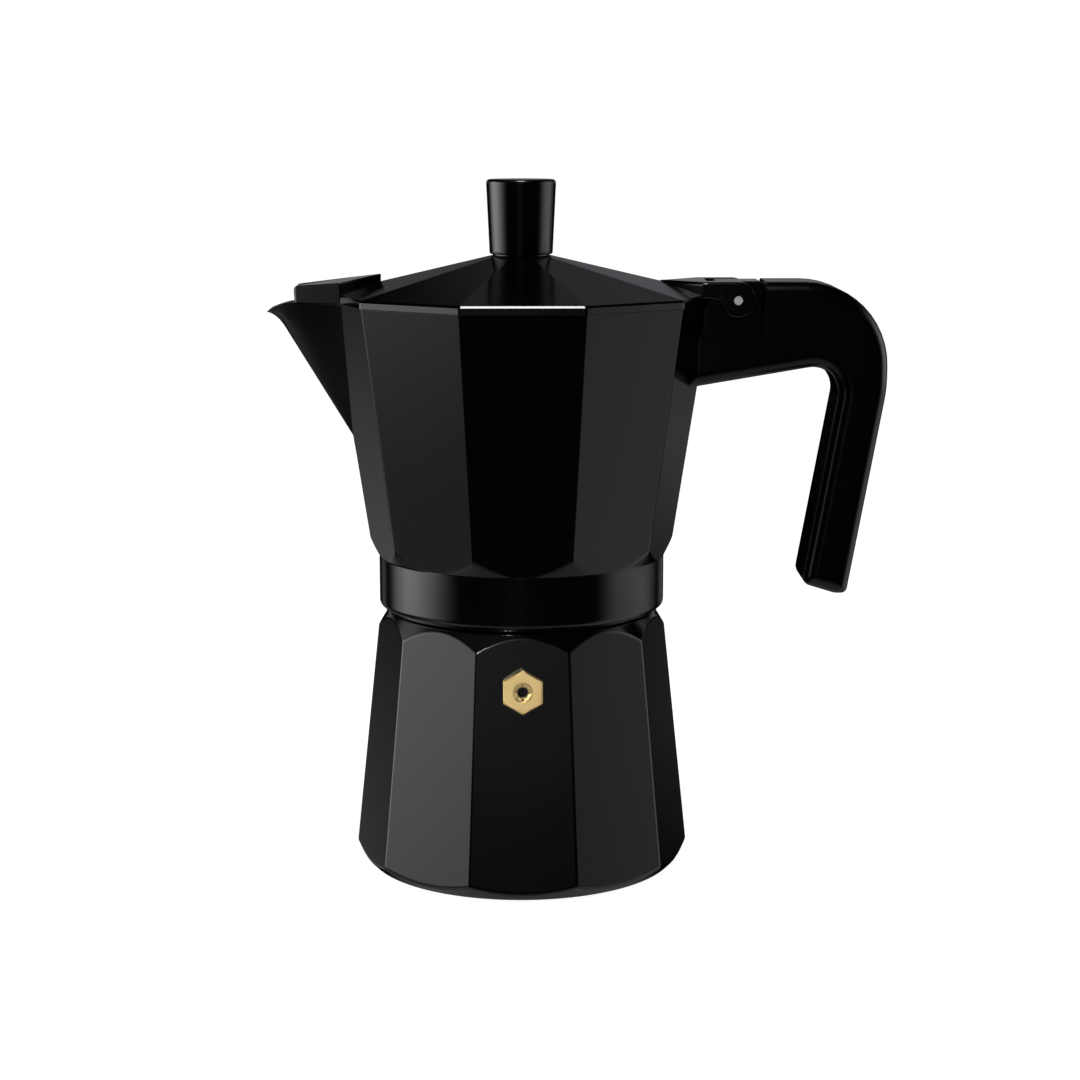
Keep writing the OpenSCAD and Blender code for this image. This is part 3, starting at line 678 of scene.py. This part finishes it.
def make_lug():
    """The tongue between the fork's cheeks, with rounded corners, which runs down into the handle, and beside
    it a flush pad on each side under the fork's round end, hollowed round it."""
    near = PIN_X - KNUCKLE - 1.1
    root = RIM_R - 4
    piece = make_mesh("hinge_lug", *capped(bar([
        (root, Z_LUG, 0.5), (LUG_FAR, Z_LUG, 0.5), (LUG_FAR, Z_TOP, 1.2), (near, Z_TOP, 1.2),
        (near, Z_RIM - 0.5, 0.8), (root, Z_RIM - 0.5, 0.5)], -LUG_HALF, LUG_HALF, 0.5)))
    place(piece, "upper", "black_coat", coat)
    z_floor = Z_TOP - POCKET + 0.1
    z_pad = PIN_Z + 0.2
    left = PIN_X - 8.6
    right = PIN_X + 6.3
    block = [(left, z_floor, 0.2), (right, z_floor, 0.2), (right, z_pad, 0.1), (left, z_pad, 0.1)]
    inner = LUG_HALF + 0.1
    outer = HALF - 0.1
    for name, y0, y1 in (("front", -outer, -inner), ("back", inner, outer)):
        pad = make_mesh(f"hinge_pad_{name}", *capped(bar(block, y0, y1, 0.15, steps=2)))
        carve(pad, make_mesh("pad_hollow", [on_pin_axis(KNUCKLE + 0.4, 96)]))
        place(pad, "upper", "black_coat", coat)


make_lug()


# ---------------------------------------------------------------- lid

LID_R = collector_corner(Z_EDGE)         # the lid's corners
SIDE_X = LID_R - HALF * TAN_HALF         # where the hood and the fork leave the lid's outline
POINT_X = SIDE_X - HALF + 0.8            # where each comes to a point on the roof
HOLLOW_R = LID_R * COS_HALF - LID_SKIRT  # the round hollow under the roof
HOOD_H = 5.05                            # the hood's front above the rim
HOOD_TILT = math.tan(math.radians(6.5))


def hood_rows(inset, z_foot):
    """The hood's blunt kite plan carried up to a top that rises inwards, falls a little towards both sides
    and over the nose, and has its edge rounded. The hood's hollow is the same form, `inset` smaller."""
    front = -low("lid", 0) - inset
    tip = HOOD_TIP - 0.58 * inset
    half = HALF - 1.4 * inset
    kite = [(-front, tip, 1.5), (-front, -tip, 1.5), (-SIDE_X, -half, 0.5), (-POINT_X - 1.4 * inset, 0, 0.5),
            (-SIDE_X, half, 0.5)]
    edge = 0.3

    def row(shrink, drop, z=None):
        """The plan moved inwards, at a height of its own or on the top less a drop."""
        o = closed(outline(kite, shrink, 6))
        if z is None:
            nose = np.clip(1 - (o[:, 0] + front) / 1.6, 0, 1) ** 2
            camber = 0.65 * np.abs(o[:, 1]) / HALF + 0.9 * nose
            z = Z_RIM + HOOD_H - inset + (o[:, 0] - low("lid", 0)) * HOOD_TILT - camber - drop
        return np.stack([o[:, 0], o[:, 1], np.broadcast_to(z, len(o))], 1)

    rows = [row(0.2, 0, z_foot), row(0, edge * 1.2)]
    for w in np.linspace(0, math.pi / 2, 5):
        rows.append(row(edge * (1 - math.cos(w)), edge * (1 - math.sin(w))))
    return np.array(rows)


def fork_rows():
    """The hinge fork as one bar along X: rounded rectangles that widen from a point, stay level, and end in
    the round of the knuckle, a circle about the pin. Its underside stays within the roof's thickness, then
    runs level a little above the pin's axis, and drops to the circle just below it."""
    length = SIDE_X - POINT_X
    near = POINT_X + length * np.array([0, 0.01, 0.1, 0.3, 0.6, 0.9, 1.0])
    near = np.concatenate([near, [SIDE_X + 1.5]])
    level = 0.3
    bend = math.acos(level / KNUCKLE)
    round_under = PIN_X - KNUCKLE * np.sin(np.linspace(bend, 0, 14))
    round_end = PIN_X + KNUCKLE * np.sin(np.linspace(0, math.pi / 2, 16))[1:]
    x = np.concatenate([near, round_under, round_end])
    half = np.clip(HALF * (x - POINT_X) / length, 0, HALF)
    rise = np.sqrt(np.maximum(KNUCKLE ** 2 - (x - PIN_X) ** 2, 0))
    top = np.where(x < PIN_X, PIN_Z + KNUCKLE, PIN_Z + rise)
    under = np.where(x < round_under[0] - 1e-6, PIN_Z + level, PIN_Z - rise)
    sheet = Z_LID + (HOLLOW_R - x) * ROOF_SLOPE + 0.4
    under = np.where(x < SIDE_X, np.maximum(under, sheet), under)
    edge = np.minimum(np.minimum(1.1, half), np.maximum((top - under) / 2, 0))
    w = np.linspace(0, math.pi / 2, 5)
    turns = np.concatenate([w, w + math.pi / 2, w + math.pi, w + 1.5 * math.pi])
    diagonal = np.repeat([0.25, 0.75, 1.25, 1.75], 5) * math.pi
    side_y = np.sign(np.cos(diagonal))
    side_z = np.sign(np.sin(diagonal))
    y = side_y[None] * (half - edge)[:, None] + np.cos(turns)[None] * edge[:, None]
    middle = np.where(side_z[None] > 0, (top - edge)[:, None], (under + edge)[:, None])
    z = middle + np.sin(turns)[None] * edge[:, None]
    grid = np.stack([np.broadcast_to(x[:, None], y.shape), y, z], -1)
    return np.concatenate([grid, grid[:, :1]], 1)


def make_lid():
    """A ten-sided roof of flat facets from the knob's seat to a narrow bevel and an upright edge, with a
    round cone under it; the hood and the fork are added, and the hood's hollow, the lug's slot and the pin's
    bore are cut out."""
    th = COLUMNS
    apothem = LID_R * COS_HALF
    apex = Z_EDGE + apothem * ROOF_SLOPE
    seat = (apex - Z_SEAT) / ROOF_SLOPE
    boss_r = 9.2
    z_boss = Z_SEAT - 2.3

    def roof(distance):
        """A row of the roof whose facets stand this far from the axis."""
        return polar(ten_sided(th, distance / COS_HALF, 1.5), th, apex - distance * ROOF_SLOPE)

    rows = softened([
        polar(0, th, Z_SEAT), roof(seat), roof(20), roof(36), roof(apothem - BEVEL),
        polar(ten_sided(th, LID_R), th, Z_EDGE - BEVEL * 0.9), polar(ten_sided(th, LID_R), th, Z_LID),
        polar(HOLLOW_R, th, Z_LID), polar(boss_r, th, Z_LID + (HOLLOW_R - boss_r) * ROOF_SLOPE),
        polar(boss_r - 1, th, z_boss), polar(0, th, z_boss)],
        [0.3, 0, 0, 0.08, 0.08, 0.1, 0.4, 0.6, 0.5])
    lid = make_mesh("lid_shell", [rows])
    hood = hood_rows(0, Z_LID)
    carve(lid, make_mesh("hood", [hood], [hood[0, :-1], hood[-1, :-1]]), "UNION")
    hollow_rows = hood_rows(1.8, Z_LID - 2)
    carve(lid, make_mesh("hood_hollow", [hollow_rows], [hollow_rows[0, :-1], hollow_rows[-1, :-1]]))
    carve(lid, make_mesh("fork", [fork_rows()]), "UNION")
    slot_half = LUG_HALF + 0.2
    slot = box_block(PIN_X - KNUCKLE - 3.4, PIN_X + 20, -slot_half, slot_half, Z_RIM - 25, Z_RIM + 25)
    carve(lid, make_mesh("slot", *capped(slot)))
    carve(lid, make_mesh("pin_bore", [on_pin_axis(1.75, 32)]))
    return place(lid, "cover", "black_coat", coat, "lid")


make_lid()


# ---------------------------------------------------------------- handle and knob

def make_handle():
    """The handle's outline, whose corners are arcs, carried across its width with long edges rounded to 4 mm;
    cut out of it are the collector's ten-sided body, the pockets for the fork, the lug's slot and the hole
    for the screw's head."""
    right = high("handle", 0)
    foot = low("handle", 2)
    root = RIM_R - 8
    corners = [(right - 12.4, Z_TOP - 22.75, 7.3), (right - 23.4, foot + 5.2, 2),
               (right - 22.8, foot + 2.7, 2.6), (right - 14, foot, 5), (right - 10.5, foot, 1.9),
               (right, Z_TOP - 30.6, 40), (right, Z_TOP, 24), (root, Z_TOP, 0.2),
               (root, Z_TOP - 30.4, 0.2)]
    handle = make_mesh("handle_grip", *capped(bar(corners, -HALF, HALF, 4.0, arc=13, steps=8)))
    below = Z_RIM - 45
    above = Z_RIM + 25
    wall = [polar(ten_sided(COLUMNS, collector_corner(z) - 0.4), COLUMNS, z) for z in (below, above)]
    body = np.array([polar(0, COLUMNS, below), *wall, polar(0, COLUMNS, above)])
    carve(handle, make_mesh("body_cut", [body]))
    wall_x = PIN_X + 6.6
    z_floor = Z_TOP - POCKET
    z_open = Z_TOP + 2
    inside = root - 7
    pocket = bar([(inside, z_floor, 0.3), (wall_x, z_floor, 0.8), (wall_x + 1.8, z_open, 0.3),
                  (inside, z_open, 0.3)], -20, 20, 0.01, steps=1)
    carve(handle, make_mesh("pocket", *capped(pocket)))
    slot_half = LUG_HALF + 0.05
    slot = box_block(inside, LUG_FAR + 0.05, -slot_half, slot_half, Z_LUG - 0.1, above)
    carve(handle, make_mesh("lug_slot", *capped(slot)))
    screw_x = PIN_X - 1.5
    head_r = 3.9
    z_seat = Z_LUG - 4
    seat = turned([(0, z_seat - 16), (head_r, z_seat - 16), (head_r, z_seat), (0, z_seat)], [0, 0], 48)
    carve(handle, make_mesh("screw_seat", [seat + np.array([screw_x, 0, 0])]))
    return place(handle, "upper", "black_plastic", phenolic, "handle")


make_handle()


def make_knob():
    """A turned profile: a short neck, then a cone that widens to a top edge rounded to about 1 mm."""
    top = high("knob", 2)
    top_r = high("knob", 0)
    neck_r = 8.2
    foot = Z_SEAT + 0.4
    rows = turned([(0, Z_SEAT), (neck_r, Z_SEAT), (neck_r, foot), (top_r - 1, foot), (top_r, top - 0.15),
                   (0, top)], [0.1, 0.1, 0.7, 1.25], 128, 6)
    return place(make_mesh("knob_body", [rows]), "cover", "black_plastic", phenolic, "knob")


make_knob()


# ---------------------------------------------------------------- safety valve

def on_valve_axis(grid):
    """From the valve's own frame, whose Z points out of the front facet, to the pot's."""
    frame_of = Matrix.Rotation(math.pi / 2 - BOILER_LEAN, 3, "X")
    return grid @ np.array(frame_of).T + np.array([0, -boiler_corner(VALVE_Z) * COS_HALF, VALVE_Z])


def make_valve():
    """A shank in the wall, a hexagon 11 mm across flats with a bevelled foot and face, and a stepped bore;
    then the staked ring in the bore's mouth, a flat ring with four punched notches at its edge."""
    th = np.radians(np.arange(0, 361, 2.5))
    hexagon = 11 / math.sqrt(3)
    shank_r = 4.0
    bore_r = 2.3
    seat_r = 1.2
    z_end = -6.5
    z_seat = -4.8
    face = 3.5

    def hexed(shrink, z):
        """A row of the hexagon, with its corners moved inwards."""
        return polar(ten_sided(th, hexagon - shrink, 0.5, 6, math.pi / 2), th, z)

    rows = softened([
        polar(shank_r, th, z_end), polar(shank_r, th, 0.02), hexed(0.5, 0.02), hexed(0, 0.5),
        hexed(0, face - 0.3), hexed(0.3, face), polar(bore_r + 0.45, th, face),
        polar(bore_r + 0.3, th, face - 0.25), polar(bore_r, th, face - 0.25), polar(bore_r, th, z_seat),
        polar(seat_r, th, z_seat), polar(seat_r, th, z_end), polar(shank_r, th, z_end)],
        [0.1, 0.1, 0.2, 0.12, 0.1, 0.12, 0.1, 0.05, 0.05, 0, 0])
    place(make_mesh("valve_hexagon", [on_valve_axis(rows)]), "base", "brass", brass, "valve_body")
    ring_r = 1.5
    notch = np.exp(-((th[None] * 4 / (2 * math.pi) + 0.5) % 1.0 - 0.5) ** 2 / 0.006)
    rows = softened([polar(bore_r, th, 2.6), polar(bore_r, th, 3.3), polar(ring_r, th, 3.2),
                     polar(ring_r, th, 2.6), polar(bore_r, th, 2.6)], [0.12, 0.15, 0.1], 5)
    outer = np.clip((np.hypot(rows[..., 0], rows[..., 1]) - 1.75) / 0.3, 0, 1)
    rows[..., 2] = np.where(rows[..., 2] > 2.9, rows[..., 2] - 0.35 * outer * notch, rows[..., 2])
    place(make_mesh("valve_staked_ring", [on_valve_axis(rows)]), "base", "brass", brass, "valve_ring")


make_valve()


# ---------------------------------------------------------------- inside pieces

def make_funnel():
    """The cup, spun from one sheet: a flange, an upright wall, a sloping floor and a short collar for the
    tube; and the tube itself. Each is a closed profile of the sheet, turned about the axis."""
    sheet = 0.8
    tube_r = 4.5
    cup_r = NECK_BORE - 0.5
    flange_r = cup_r + 2.9
    z_rim = high("funnel_cup", 2)
    z_flange = z_rim - sheet
    z_cup = z_flange - 27
    rows = turned([
        (flange_r, z_flange), (flange_r, z_rim), (cup_r - sheet, z_rim), (cup_r - sheet, z_cup + 4),
        (cup_r - 2.8, z_cup + 4), (7.5, z_cup + sheet), (tube_r, z_cup + sheet), (tube_r, z_cup - 2),
        (tube_r + sheet, z_cup - 2), (tube_r + sheet, z_cup), (7.5, z_cup), (cup_r - 1.5, z_cup + 3.2),
        (cup_r, z_cup + 4.2), (cup_r, z_flange), (flange_r, z_flange)],
        [0.25, 0.6, 0.5, 0.5, 1, 0.5, 0.2, 0.2, 0.5, 1, 0.8, 0.6, 0.4], 128)
    place(make_mesh("funnel_basket", [rows]), "funnel", "aluminium", spun, "funnel_cup")
    z_end = low("funnel_stem", 2)
    outer = tube_r - 0.05
    inner = 3.6
    rows = turned([(inner, z_cup + sheet), (outer, z_cup + sheet), (outer, z_end), (inner, z_end),
                   (inner, z_cup + sheet)], [0.1, 0.2, 0.2], 64)
    place(make_mesh("funnel_tube", [rows]), "funnel", "aluminium", spun, "funnel_stem")


def make_gasket():
    """A flat ring with rounded edges."""
    inner = 25.5
    z0 = low("gasket", 2)
    z1 = high("gasket", 2)
    rows = turned([(inner, z0), (GASKET_R, z0), (GASKET_R, z1), (inner, z1), (inner, z0)],
                  [0.5, 0.5, 0.5], 128)
    place(make_mesh("gasket_ring", [rows]), "seal", "silicone", silicone, "gasket")


def make_column():
    """A turned tube that tapers from a flared foot to a rounded cap, with an outlet cut across it."""
    top = high("coffee_column", 2)
    rows = turned([(0, Z_CEILING + 2), (6, Z_CEILING + 2), (6, Z_CHAMBER), (9.5, Z_CHAMBER + 0.02),
                   (7.6, Z_CHAMBER + 2.5), (5.5, top - 3), (4.6, top - 0.8), (0, top)],
                  [0.2, 0.2, 1, 1.5, 1, 1.5], 64)
    column = make_mesh("coffee_chimney", [rows])
    carve(column, make_mesh("outlets", *capped(box_block(-20, 20, -2.2, 2.2, top - 8, top - 3))))
    place(column, "upper", "aluminium", bare, "coffee_column")


make_funnel()
make_gasket()
make_column()

# The CAD nodes whose shape is right keep it, and only take their finish
for node, finish in (("valve_ball", steel), ("valve_spring", steel), ("funnel_disc", spun),
                     ("filter_plate", spun), ("hinge_pin", matt), ("handle_screw", steel),
                     ("knob_insert", brass), ("knob_washer", steel), ("knob_screw", steel)):
    cad = frame["nodes"][node]
    cad.data.materials.clear()
    cad.data.materials.append(finish)


# ---------------------------------------------------------------- stage, light and camera

def make_floor():
    """A plain white sheet that glows a little, as paper lit from below does."""
    mesh = bpy.data.meshes.new("floor")
    size = 12.0
    corners = [(-size, -size, 0), (size, -size, 0), (size, size, 0), (-size, size, 0)]
    mesh.from_pydata(corners, [], [(0, 1, 2, 3)])
    floor = bpy.data.objects.new("floor", mesh)
    bpy.context.scene.collection.objects.link(floor)
    finish, tree = new_finish("white_paper_floor")
    shader = add(tree, "ShaderNodeBsdfPrincipled", inputs={
        "Base Color": colour("#F4F4F4"), "Roughness": 0.9, "Specular IOR Level": 0.0,
        "Emission Color": colour("#FFFFFF"), "Emission Strength": 0.95})
    finish_output(tree, shader)
    mesh.materials.append(finish)
    floor.visible_glossy = False


def hang(name, lamp, place_mm, aim_mm):
    """Puts a lamp in its place, turned towards its aim and unseen itself."""
    made = bpy.data.objects.new(name, lamp)
    bpy.context.scene.collection.objects.link(made)
    at = Vector(place_mm) * MM
    made.location = at
    made.rotation_euler = (Vector(aim_mm) * MM - at).to_track_quat("-Z", "Y").to_euler()
    made.visible_camera = False


def make_softbox(name, place_mm, aim_mm, side_mm, radiance):
    """A square softbox of a given brightness: its power is the brightness times pi and its area."""
    lamp = bpy.data.lights.new(name, "AREA")
    lamp.shape = "RECTANGLE"
    lamp.size = side_mm * MM
    lamp.size_y = side_mm * MM
    lamp.energy = radiance * math.pi * lamp.size * lamp.size_y
    hang(name, lamp, place_mm, aim_mm)


def make_spot(name, place_mm, aim_mm, degrees, power, size_mm):
    """A narrow spot for one small fitting."""
    lamp = bpy.data.lights.new(name, "SPOT")
    lamp.spot_size = math.radians(degrees)
    lamp.spot_blend = 0.4
    lamp.shadow_soft_size = size_mm * MM
    lamp.energy = power
    hang(name, lamp, place_mm, aim_mm)


# The studio's soft panels: azimuth in degrees from the front towards the spout's side; from there, the
# degrees at which a panel starts, is full, fades and ends; the heights (sines) between which it rises and
# then fades; its brightness and its shade
PANELS = (
    (97, -47, 0, 0, 38, -0.37, -0.05, 0.16, 0.52, 4.2, "#FFFFFF"),
    (80, -18, -6, 5, 25, -0.95, -0.8, -0.42, -0.3, 0.32, "#FFFFFF"),
    (-98, -44, -10, 14, 38, -0.9, -0.55, 0.3, 0.6, 0.6, "#FFFFFF"),
    (-96, -30, -8, 8, 24, -0.2, -0.1, 0.3, 0.6, 0.75, "#FFFFFF"),
    (3, -7.5, -4, 5, 12, -0.21, 0.03, 0.3, 0.6, 0.24, "#FFFFFF"),
    (180, -48, -30, 30, 48, -0.02, 0.05, 0.07, 0.225, 0.32, "#F4F8FF"),
    (180, -8.2, -3.2, 1, 5.5, 0.28, 0.36, 0.6, 0.75, 0.042, "#F4F8FF"),
    (30, -50, -20, 30, 60, 0.58, 0.7, 0.88, 0.98, 0.09, "#FFFFFF"),
    (149, -9, -1, 2, 10, -0.9, -0.6, -0.27, -0.1, 0.27, "#FFFFFF"),
    (-153, -20, -3, 3, 10, -0.27, -0.2, -0.18, -0.06, 0.12, "#FFFFFF"),
    (-165, -25, -5, 5, 25, 0.1, 0.2, 0.5, 0.7, 0.1, "#F4F8FF"),
    (0, -181, -180, 180, 181, -2, -1.5, -0.8, -0.5, 0.26, "#FFFFFF"),
)


def make_world():
    """White to the eye; as light, the sum of the studio's panels over black. A panel is its brightness times
    a smooth rise and fall in azimuth and a straight rise and fall in height."""
    world = bpy.data.worlds.new("studio")
    bpy.context.scene.world = world
    world.use_nodes = True
    tree = world.node_tree
    tree.nodes.clear()
    aim = add(tree, "ShaderNodeTexCoord").outputs["Generated"]
    level = add(tree, "ShaderNodeVectorMath", {"operation": "MULTIPLY"}, {1: (1, 1, 0)}, {0: aim})
    flat = add(tree, "ShaderNodeVectorMath", {"operation": "NORMALIZE"},
               links={0: level.outputs[0]}).outputs[0]
    height = add(tree, "ShaderNodeSeparateXYZ", links={0: aim}).outputs["Z"]
    total = None
    for azimuth, start, full, fade, end, low0, low1, high0, high1, strength, shade in PANELS:
        a = math.radians(azimuth)
        ahead = add(tree, "ShaderNodeVectorMath", {"operation": "DOT_PRODUCT"},
                    {1: (-math.sin(a), -math.cos(a), 0)}, {0: flat}).outputs["Value"]
        aside = add(tree, "ShaderNodeVectorMath", {"operation": "DOT_PRODUCT"},
                    {1: (-math.cos(a), math.sin(a), 0)}, {0: flat}).outputs["Value"]
        angle = add(tree, "ShaderNodeMath", {"operation": "ARCTAN2"}, links={0: aside, 1: ahead}).outputs[0]
        opens = add(tree, "ShaderNodeMapRange", {"interpolation_type": "SMOOTHSTEP"},
                    {"From Min": math.radians(start), "From Max": math.radians(full)}, {"Value": angle})
        closes = add(tree, "ShaderNodeMapRange", {"interpolation_type": "SMOOTHSTEP"},
                     {"From Min": math.radians(end), "From Max": math.radians(fade)}, {"Value": angle})
        across = add(tree, "ShaderNodeMath", {"operation": "MULTIPLY"},
                     links={0: opens.outputs[0], 1: closes.outputs[0]})
        rise = add(tree, "ShaderNodeMapRange", None, {"From Min": low0, "From Max": low1}, {"Value": height})
        fall = add(tree, "ShaderNodeMapRange", None,
                   {"From Min": high1, "From Max": high0}, {"Value": height})
        both = add(tree, "ShaderNodeMath", {"operation": "MULTIPLY"},
                   links={0: rise.outputs[0], 1: fall.outputs[0]})
        share = add(tree, "ShaderNodeMath", {"operation": "MULTIPLY"},
                    links={0: across.outputs[0], 1: both.outputs[0]})
        glow = [c * strength for c in colour(shade)[:3]]
        part = add(tree, "ShaderNodeVectorMath", {"operation": "SCALE"},
                   {0: glow}, {"Scale": share.outputs[0]})
        if total is not None:
            part = add(tree, "ShaderNodeVectorMath", {"operation": "ADD"},
                       links={0: total, 1: part.outputs[0]})
        total = part.outputs[0]
    ray = add(tree, "ShaderNodeLightPath")
    shade = add(tree, "ShaderNodeMix", {"data_type": "RGBA"}, {"B": (1, 1, 1, 1)},
                {"Factor": ray.outputs["Is Camera Ray"], "A": total})
    back = add(tree, "ShaderNodeBackground", links={"Color": shade.outputs["Result"]})
    add(tree, "ShaderNodeOutputWorld", links={"Surface": back.outputs[0]})


def make_stage():
    """The floor, the panels, one softbox from above, and a spot each for the valve and the pin."""
    make_floor()
    make_world()
    make_spot("valve_spot", (-122, -625, 185), (0, -50, 60), 2.6, 28.0, 30)
    make_spot("pin_spot", (-250, -560, 330), (PIN_X, -12, PIN_Z), 1.2, 8.5, 4)
    make_softbox("overhead_strip", (-8, -173, 652), (0, -52, 167), 130, 24)


def make_camera():
    """The camera in front of the pot, a little above it and looking slightly down."""
    camera = bpy.data.objects.new("camera", bpy.data.cameras.new("camera"))
    bpy.context.scene.collection.objects.link(camera)
    camera.data.lens = 80.25
    camera.data.sensor_width = 36
    camera.data.clip_start = 0.01
    camera.location = (-0.0054, -0.69445, 0.21637)
    camera.rotation_euler = (math.radians(90 - 9.891), 0, math.radians(-0.891))
    bpy.context.scene.camera = camera


make_stage()
make_camera()
bpy.context.scene.view_settings.view_transform = "Standard"
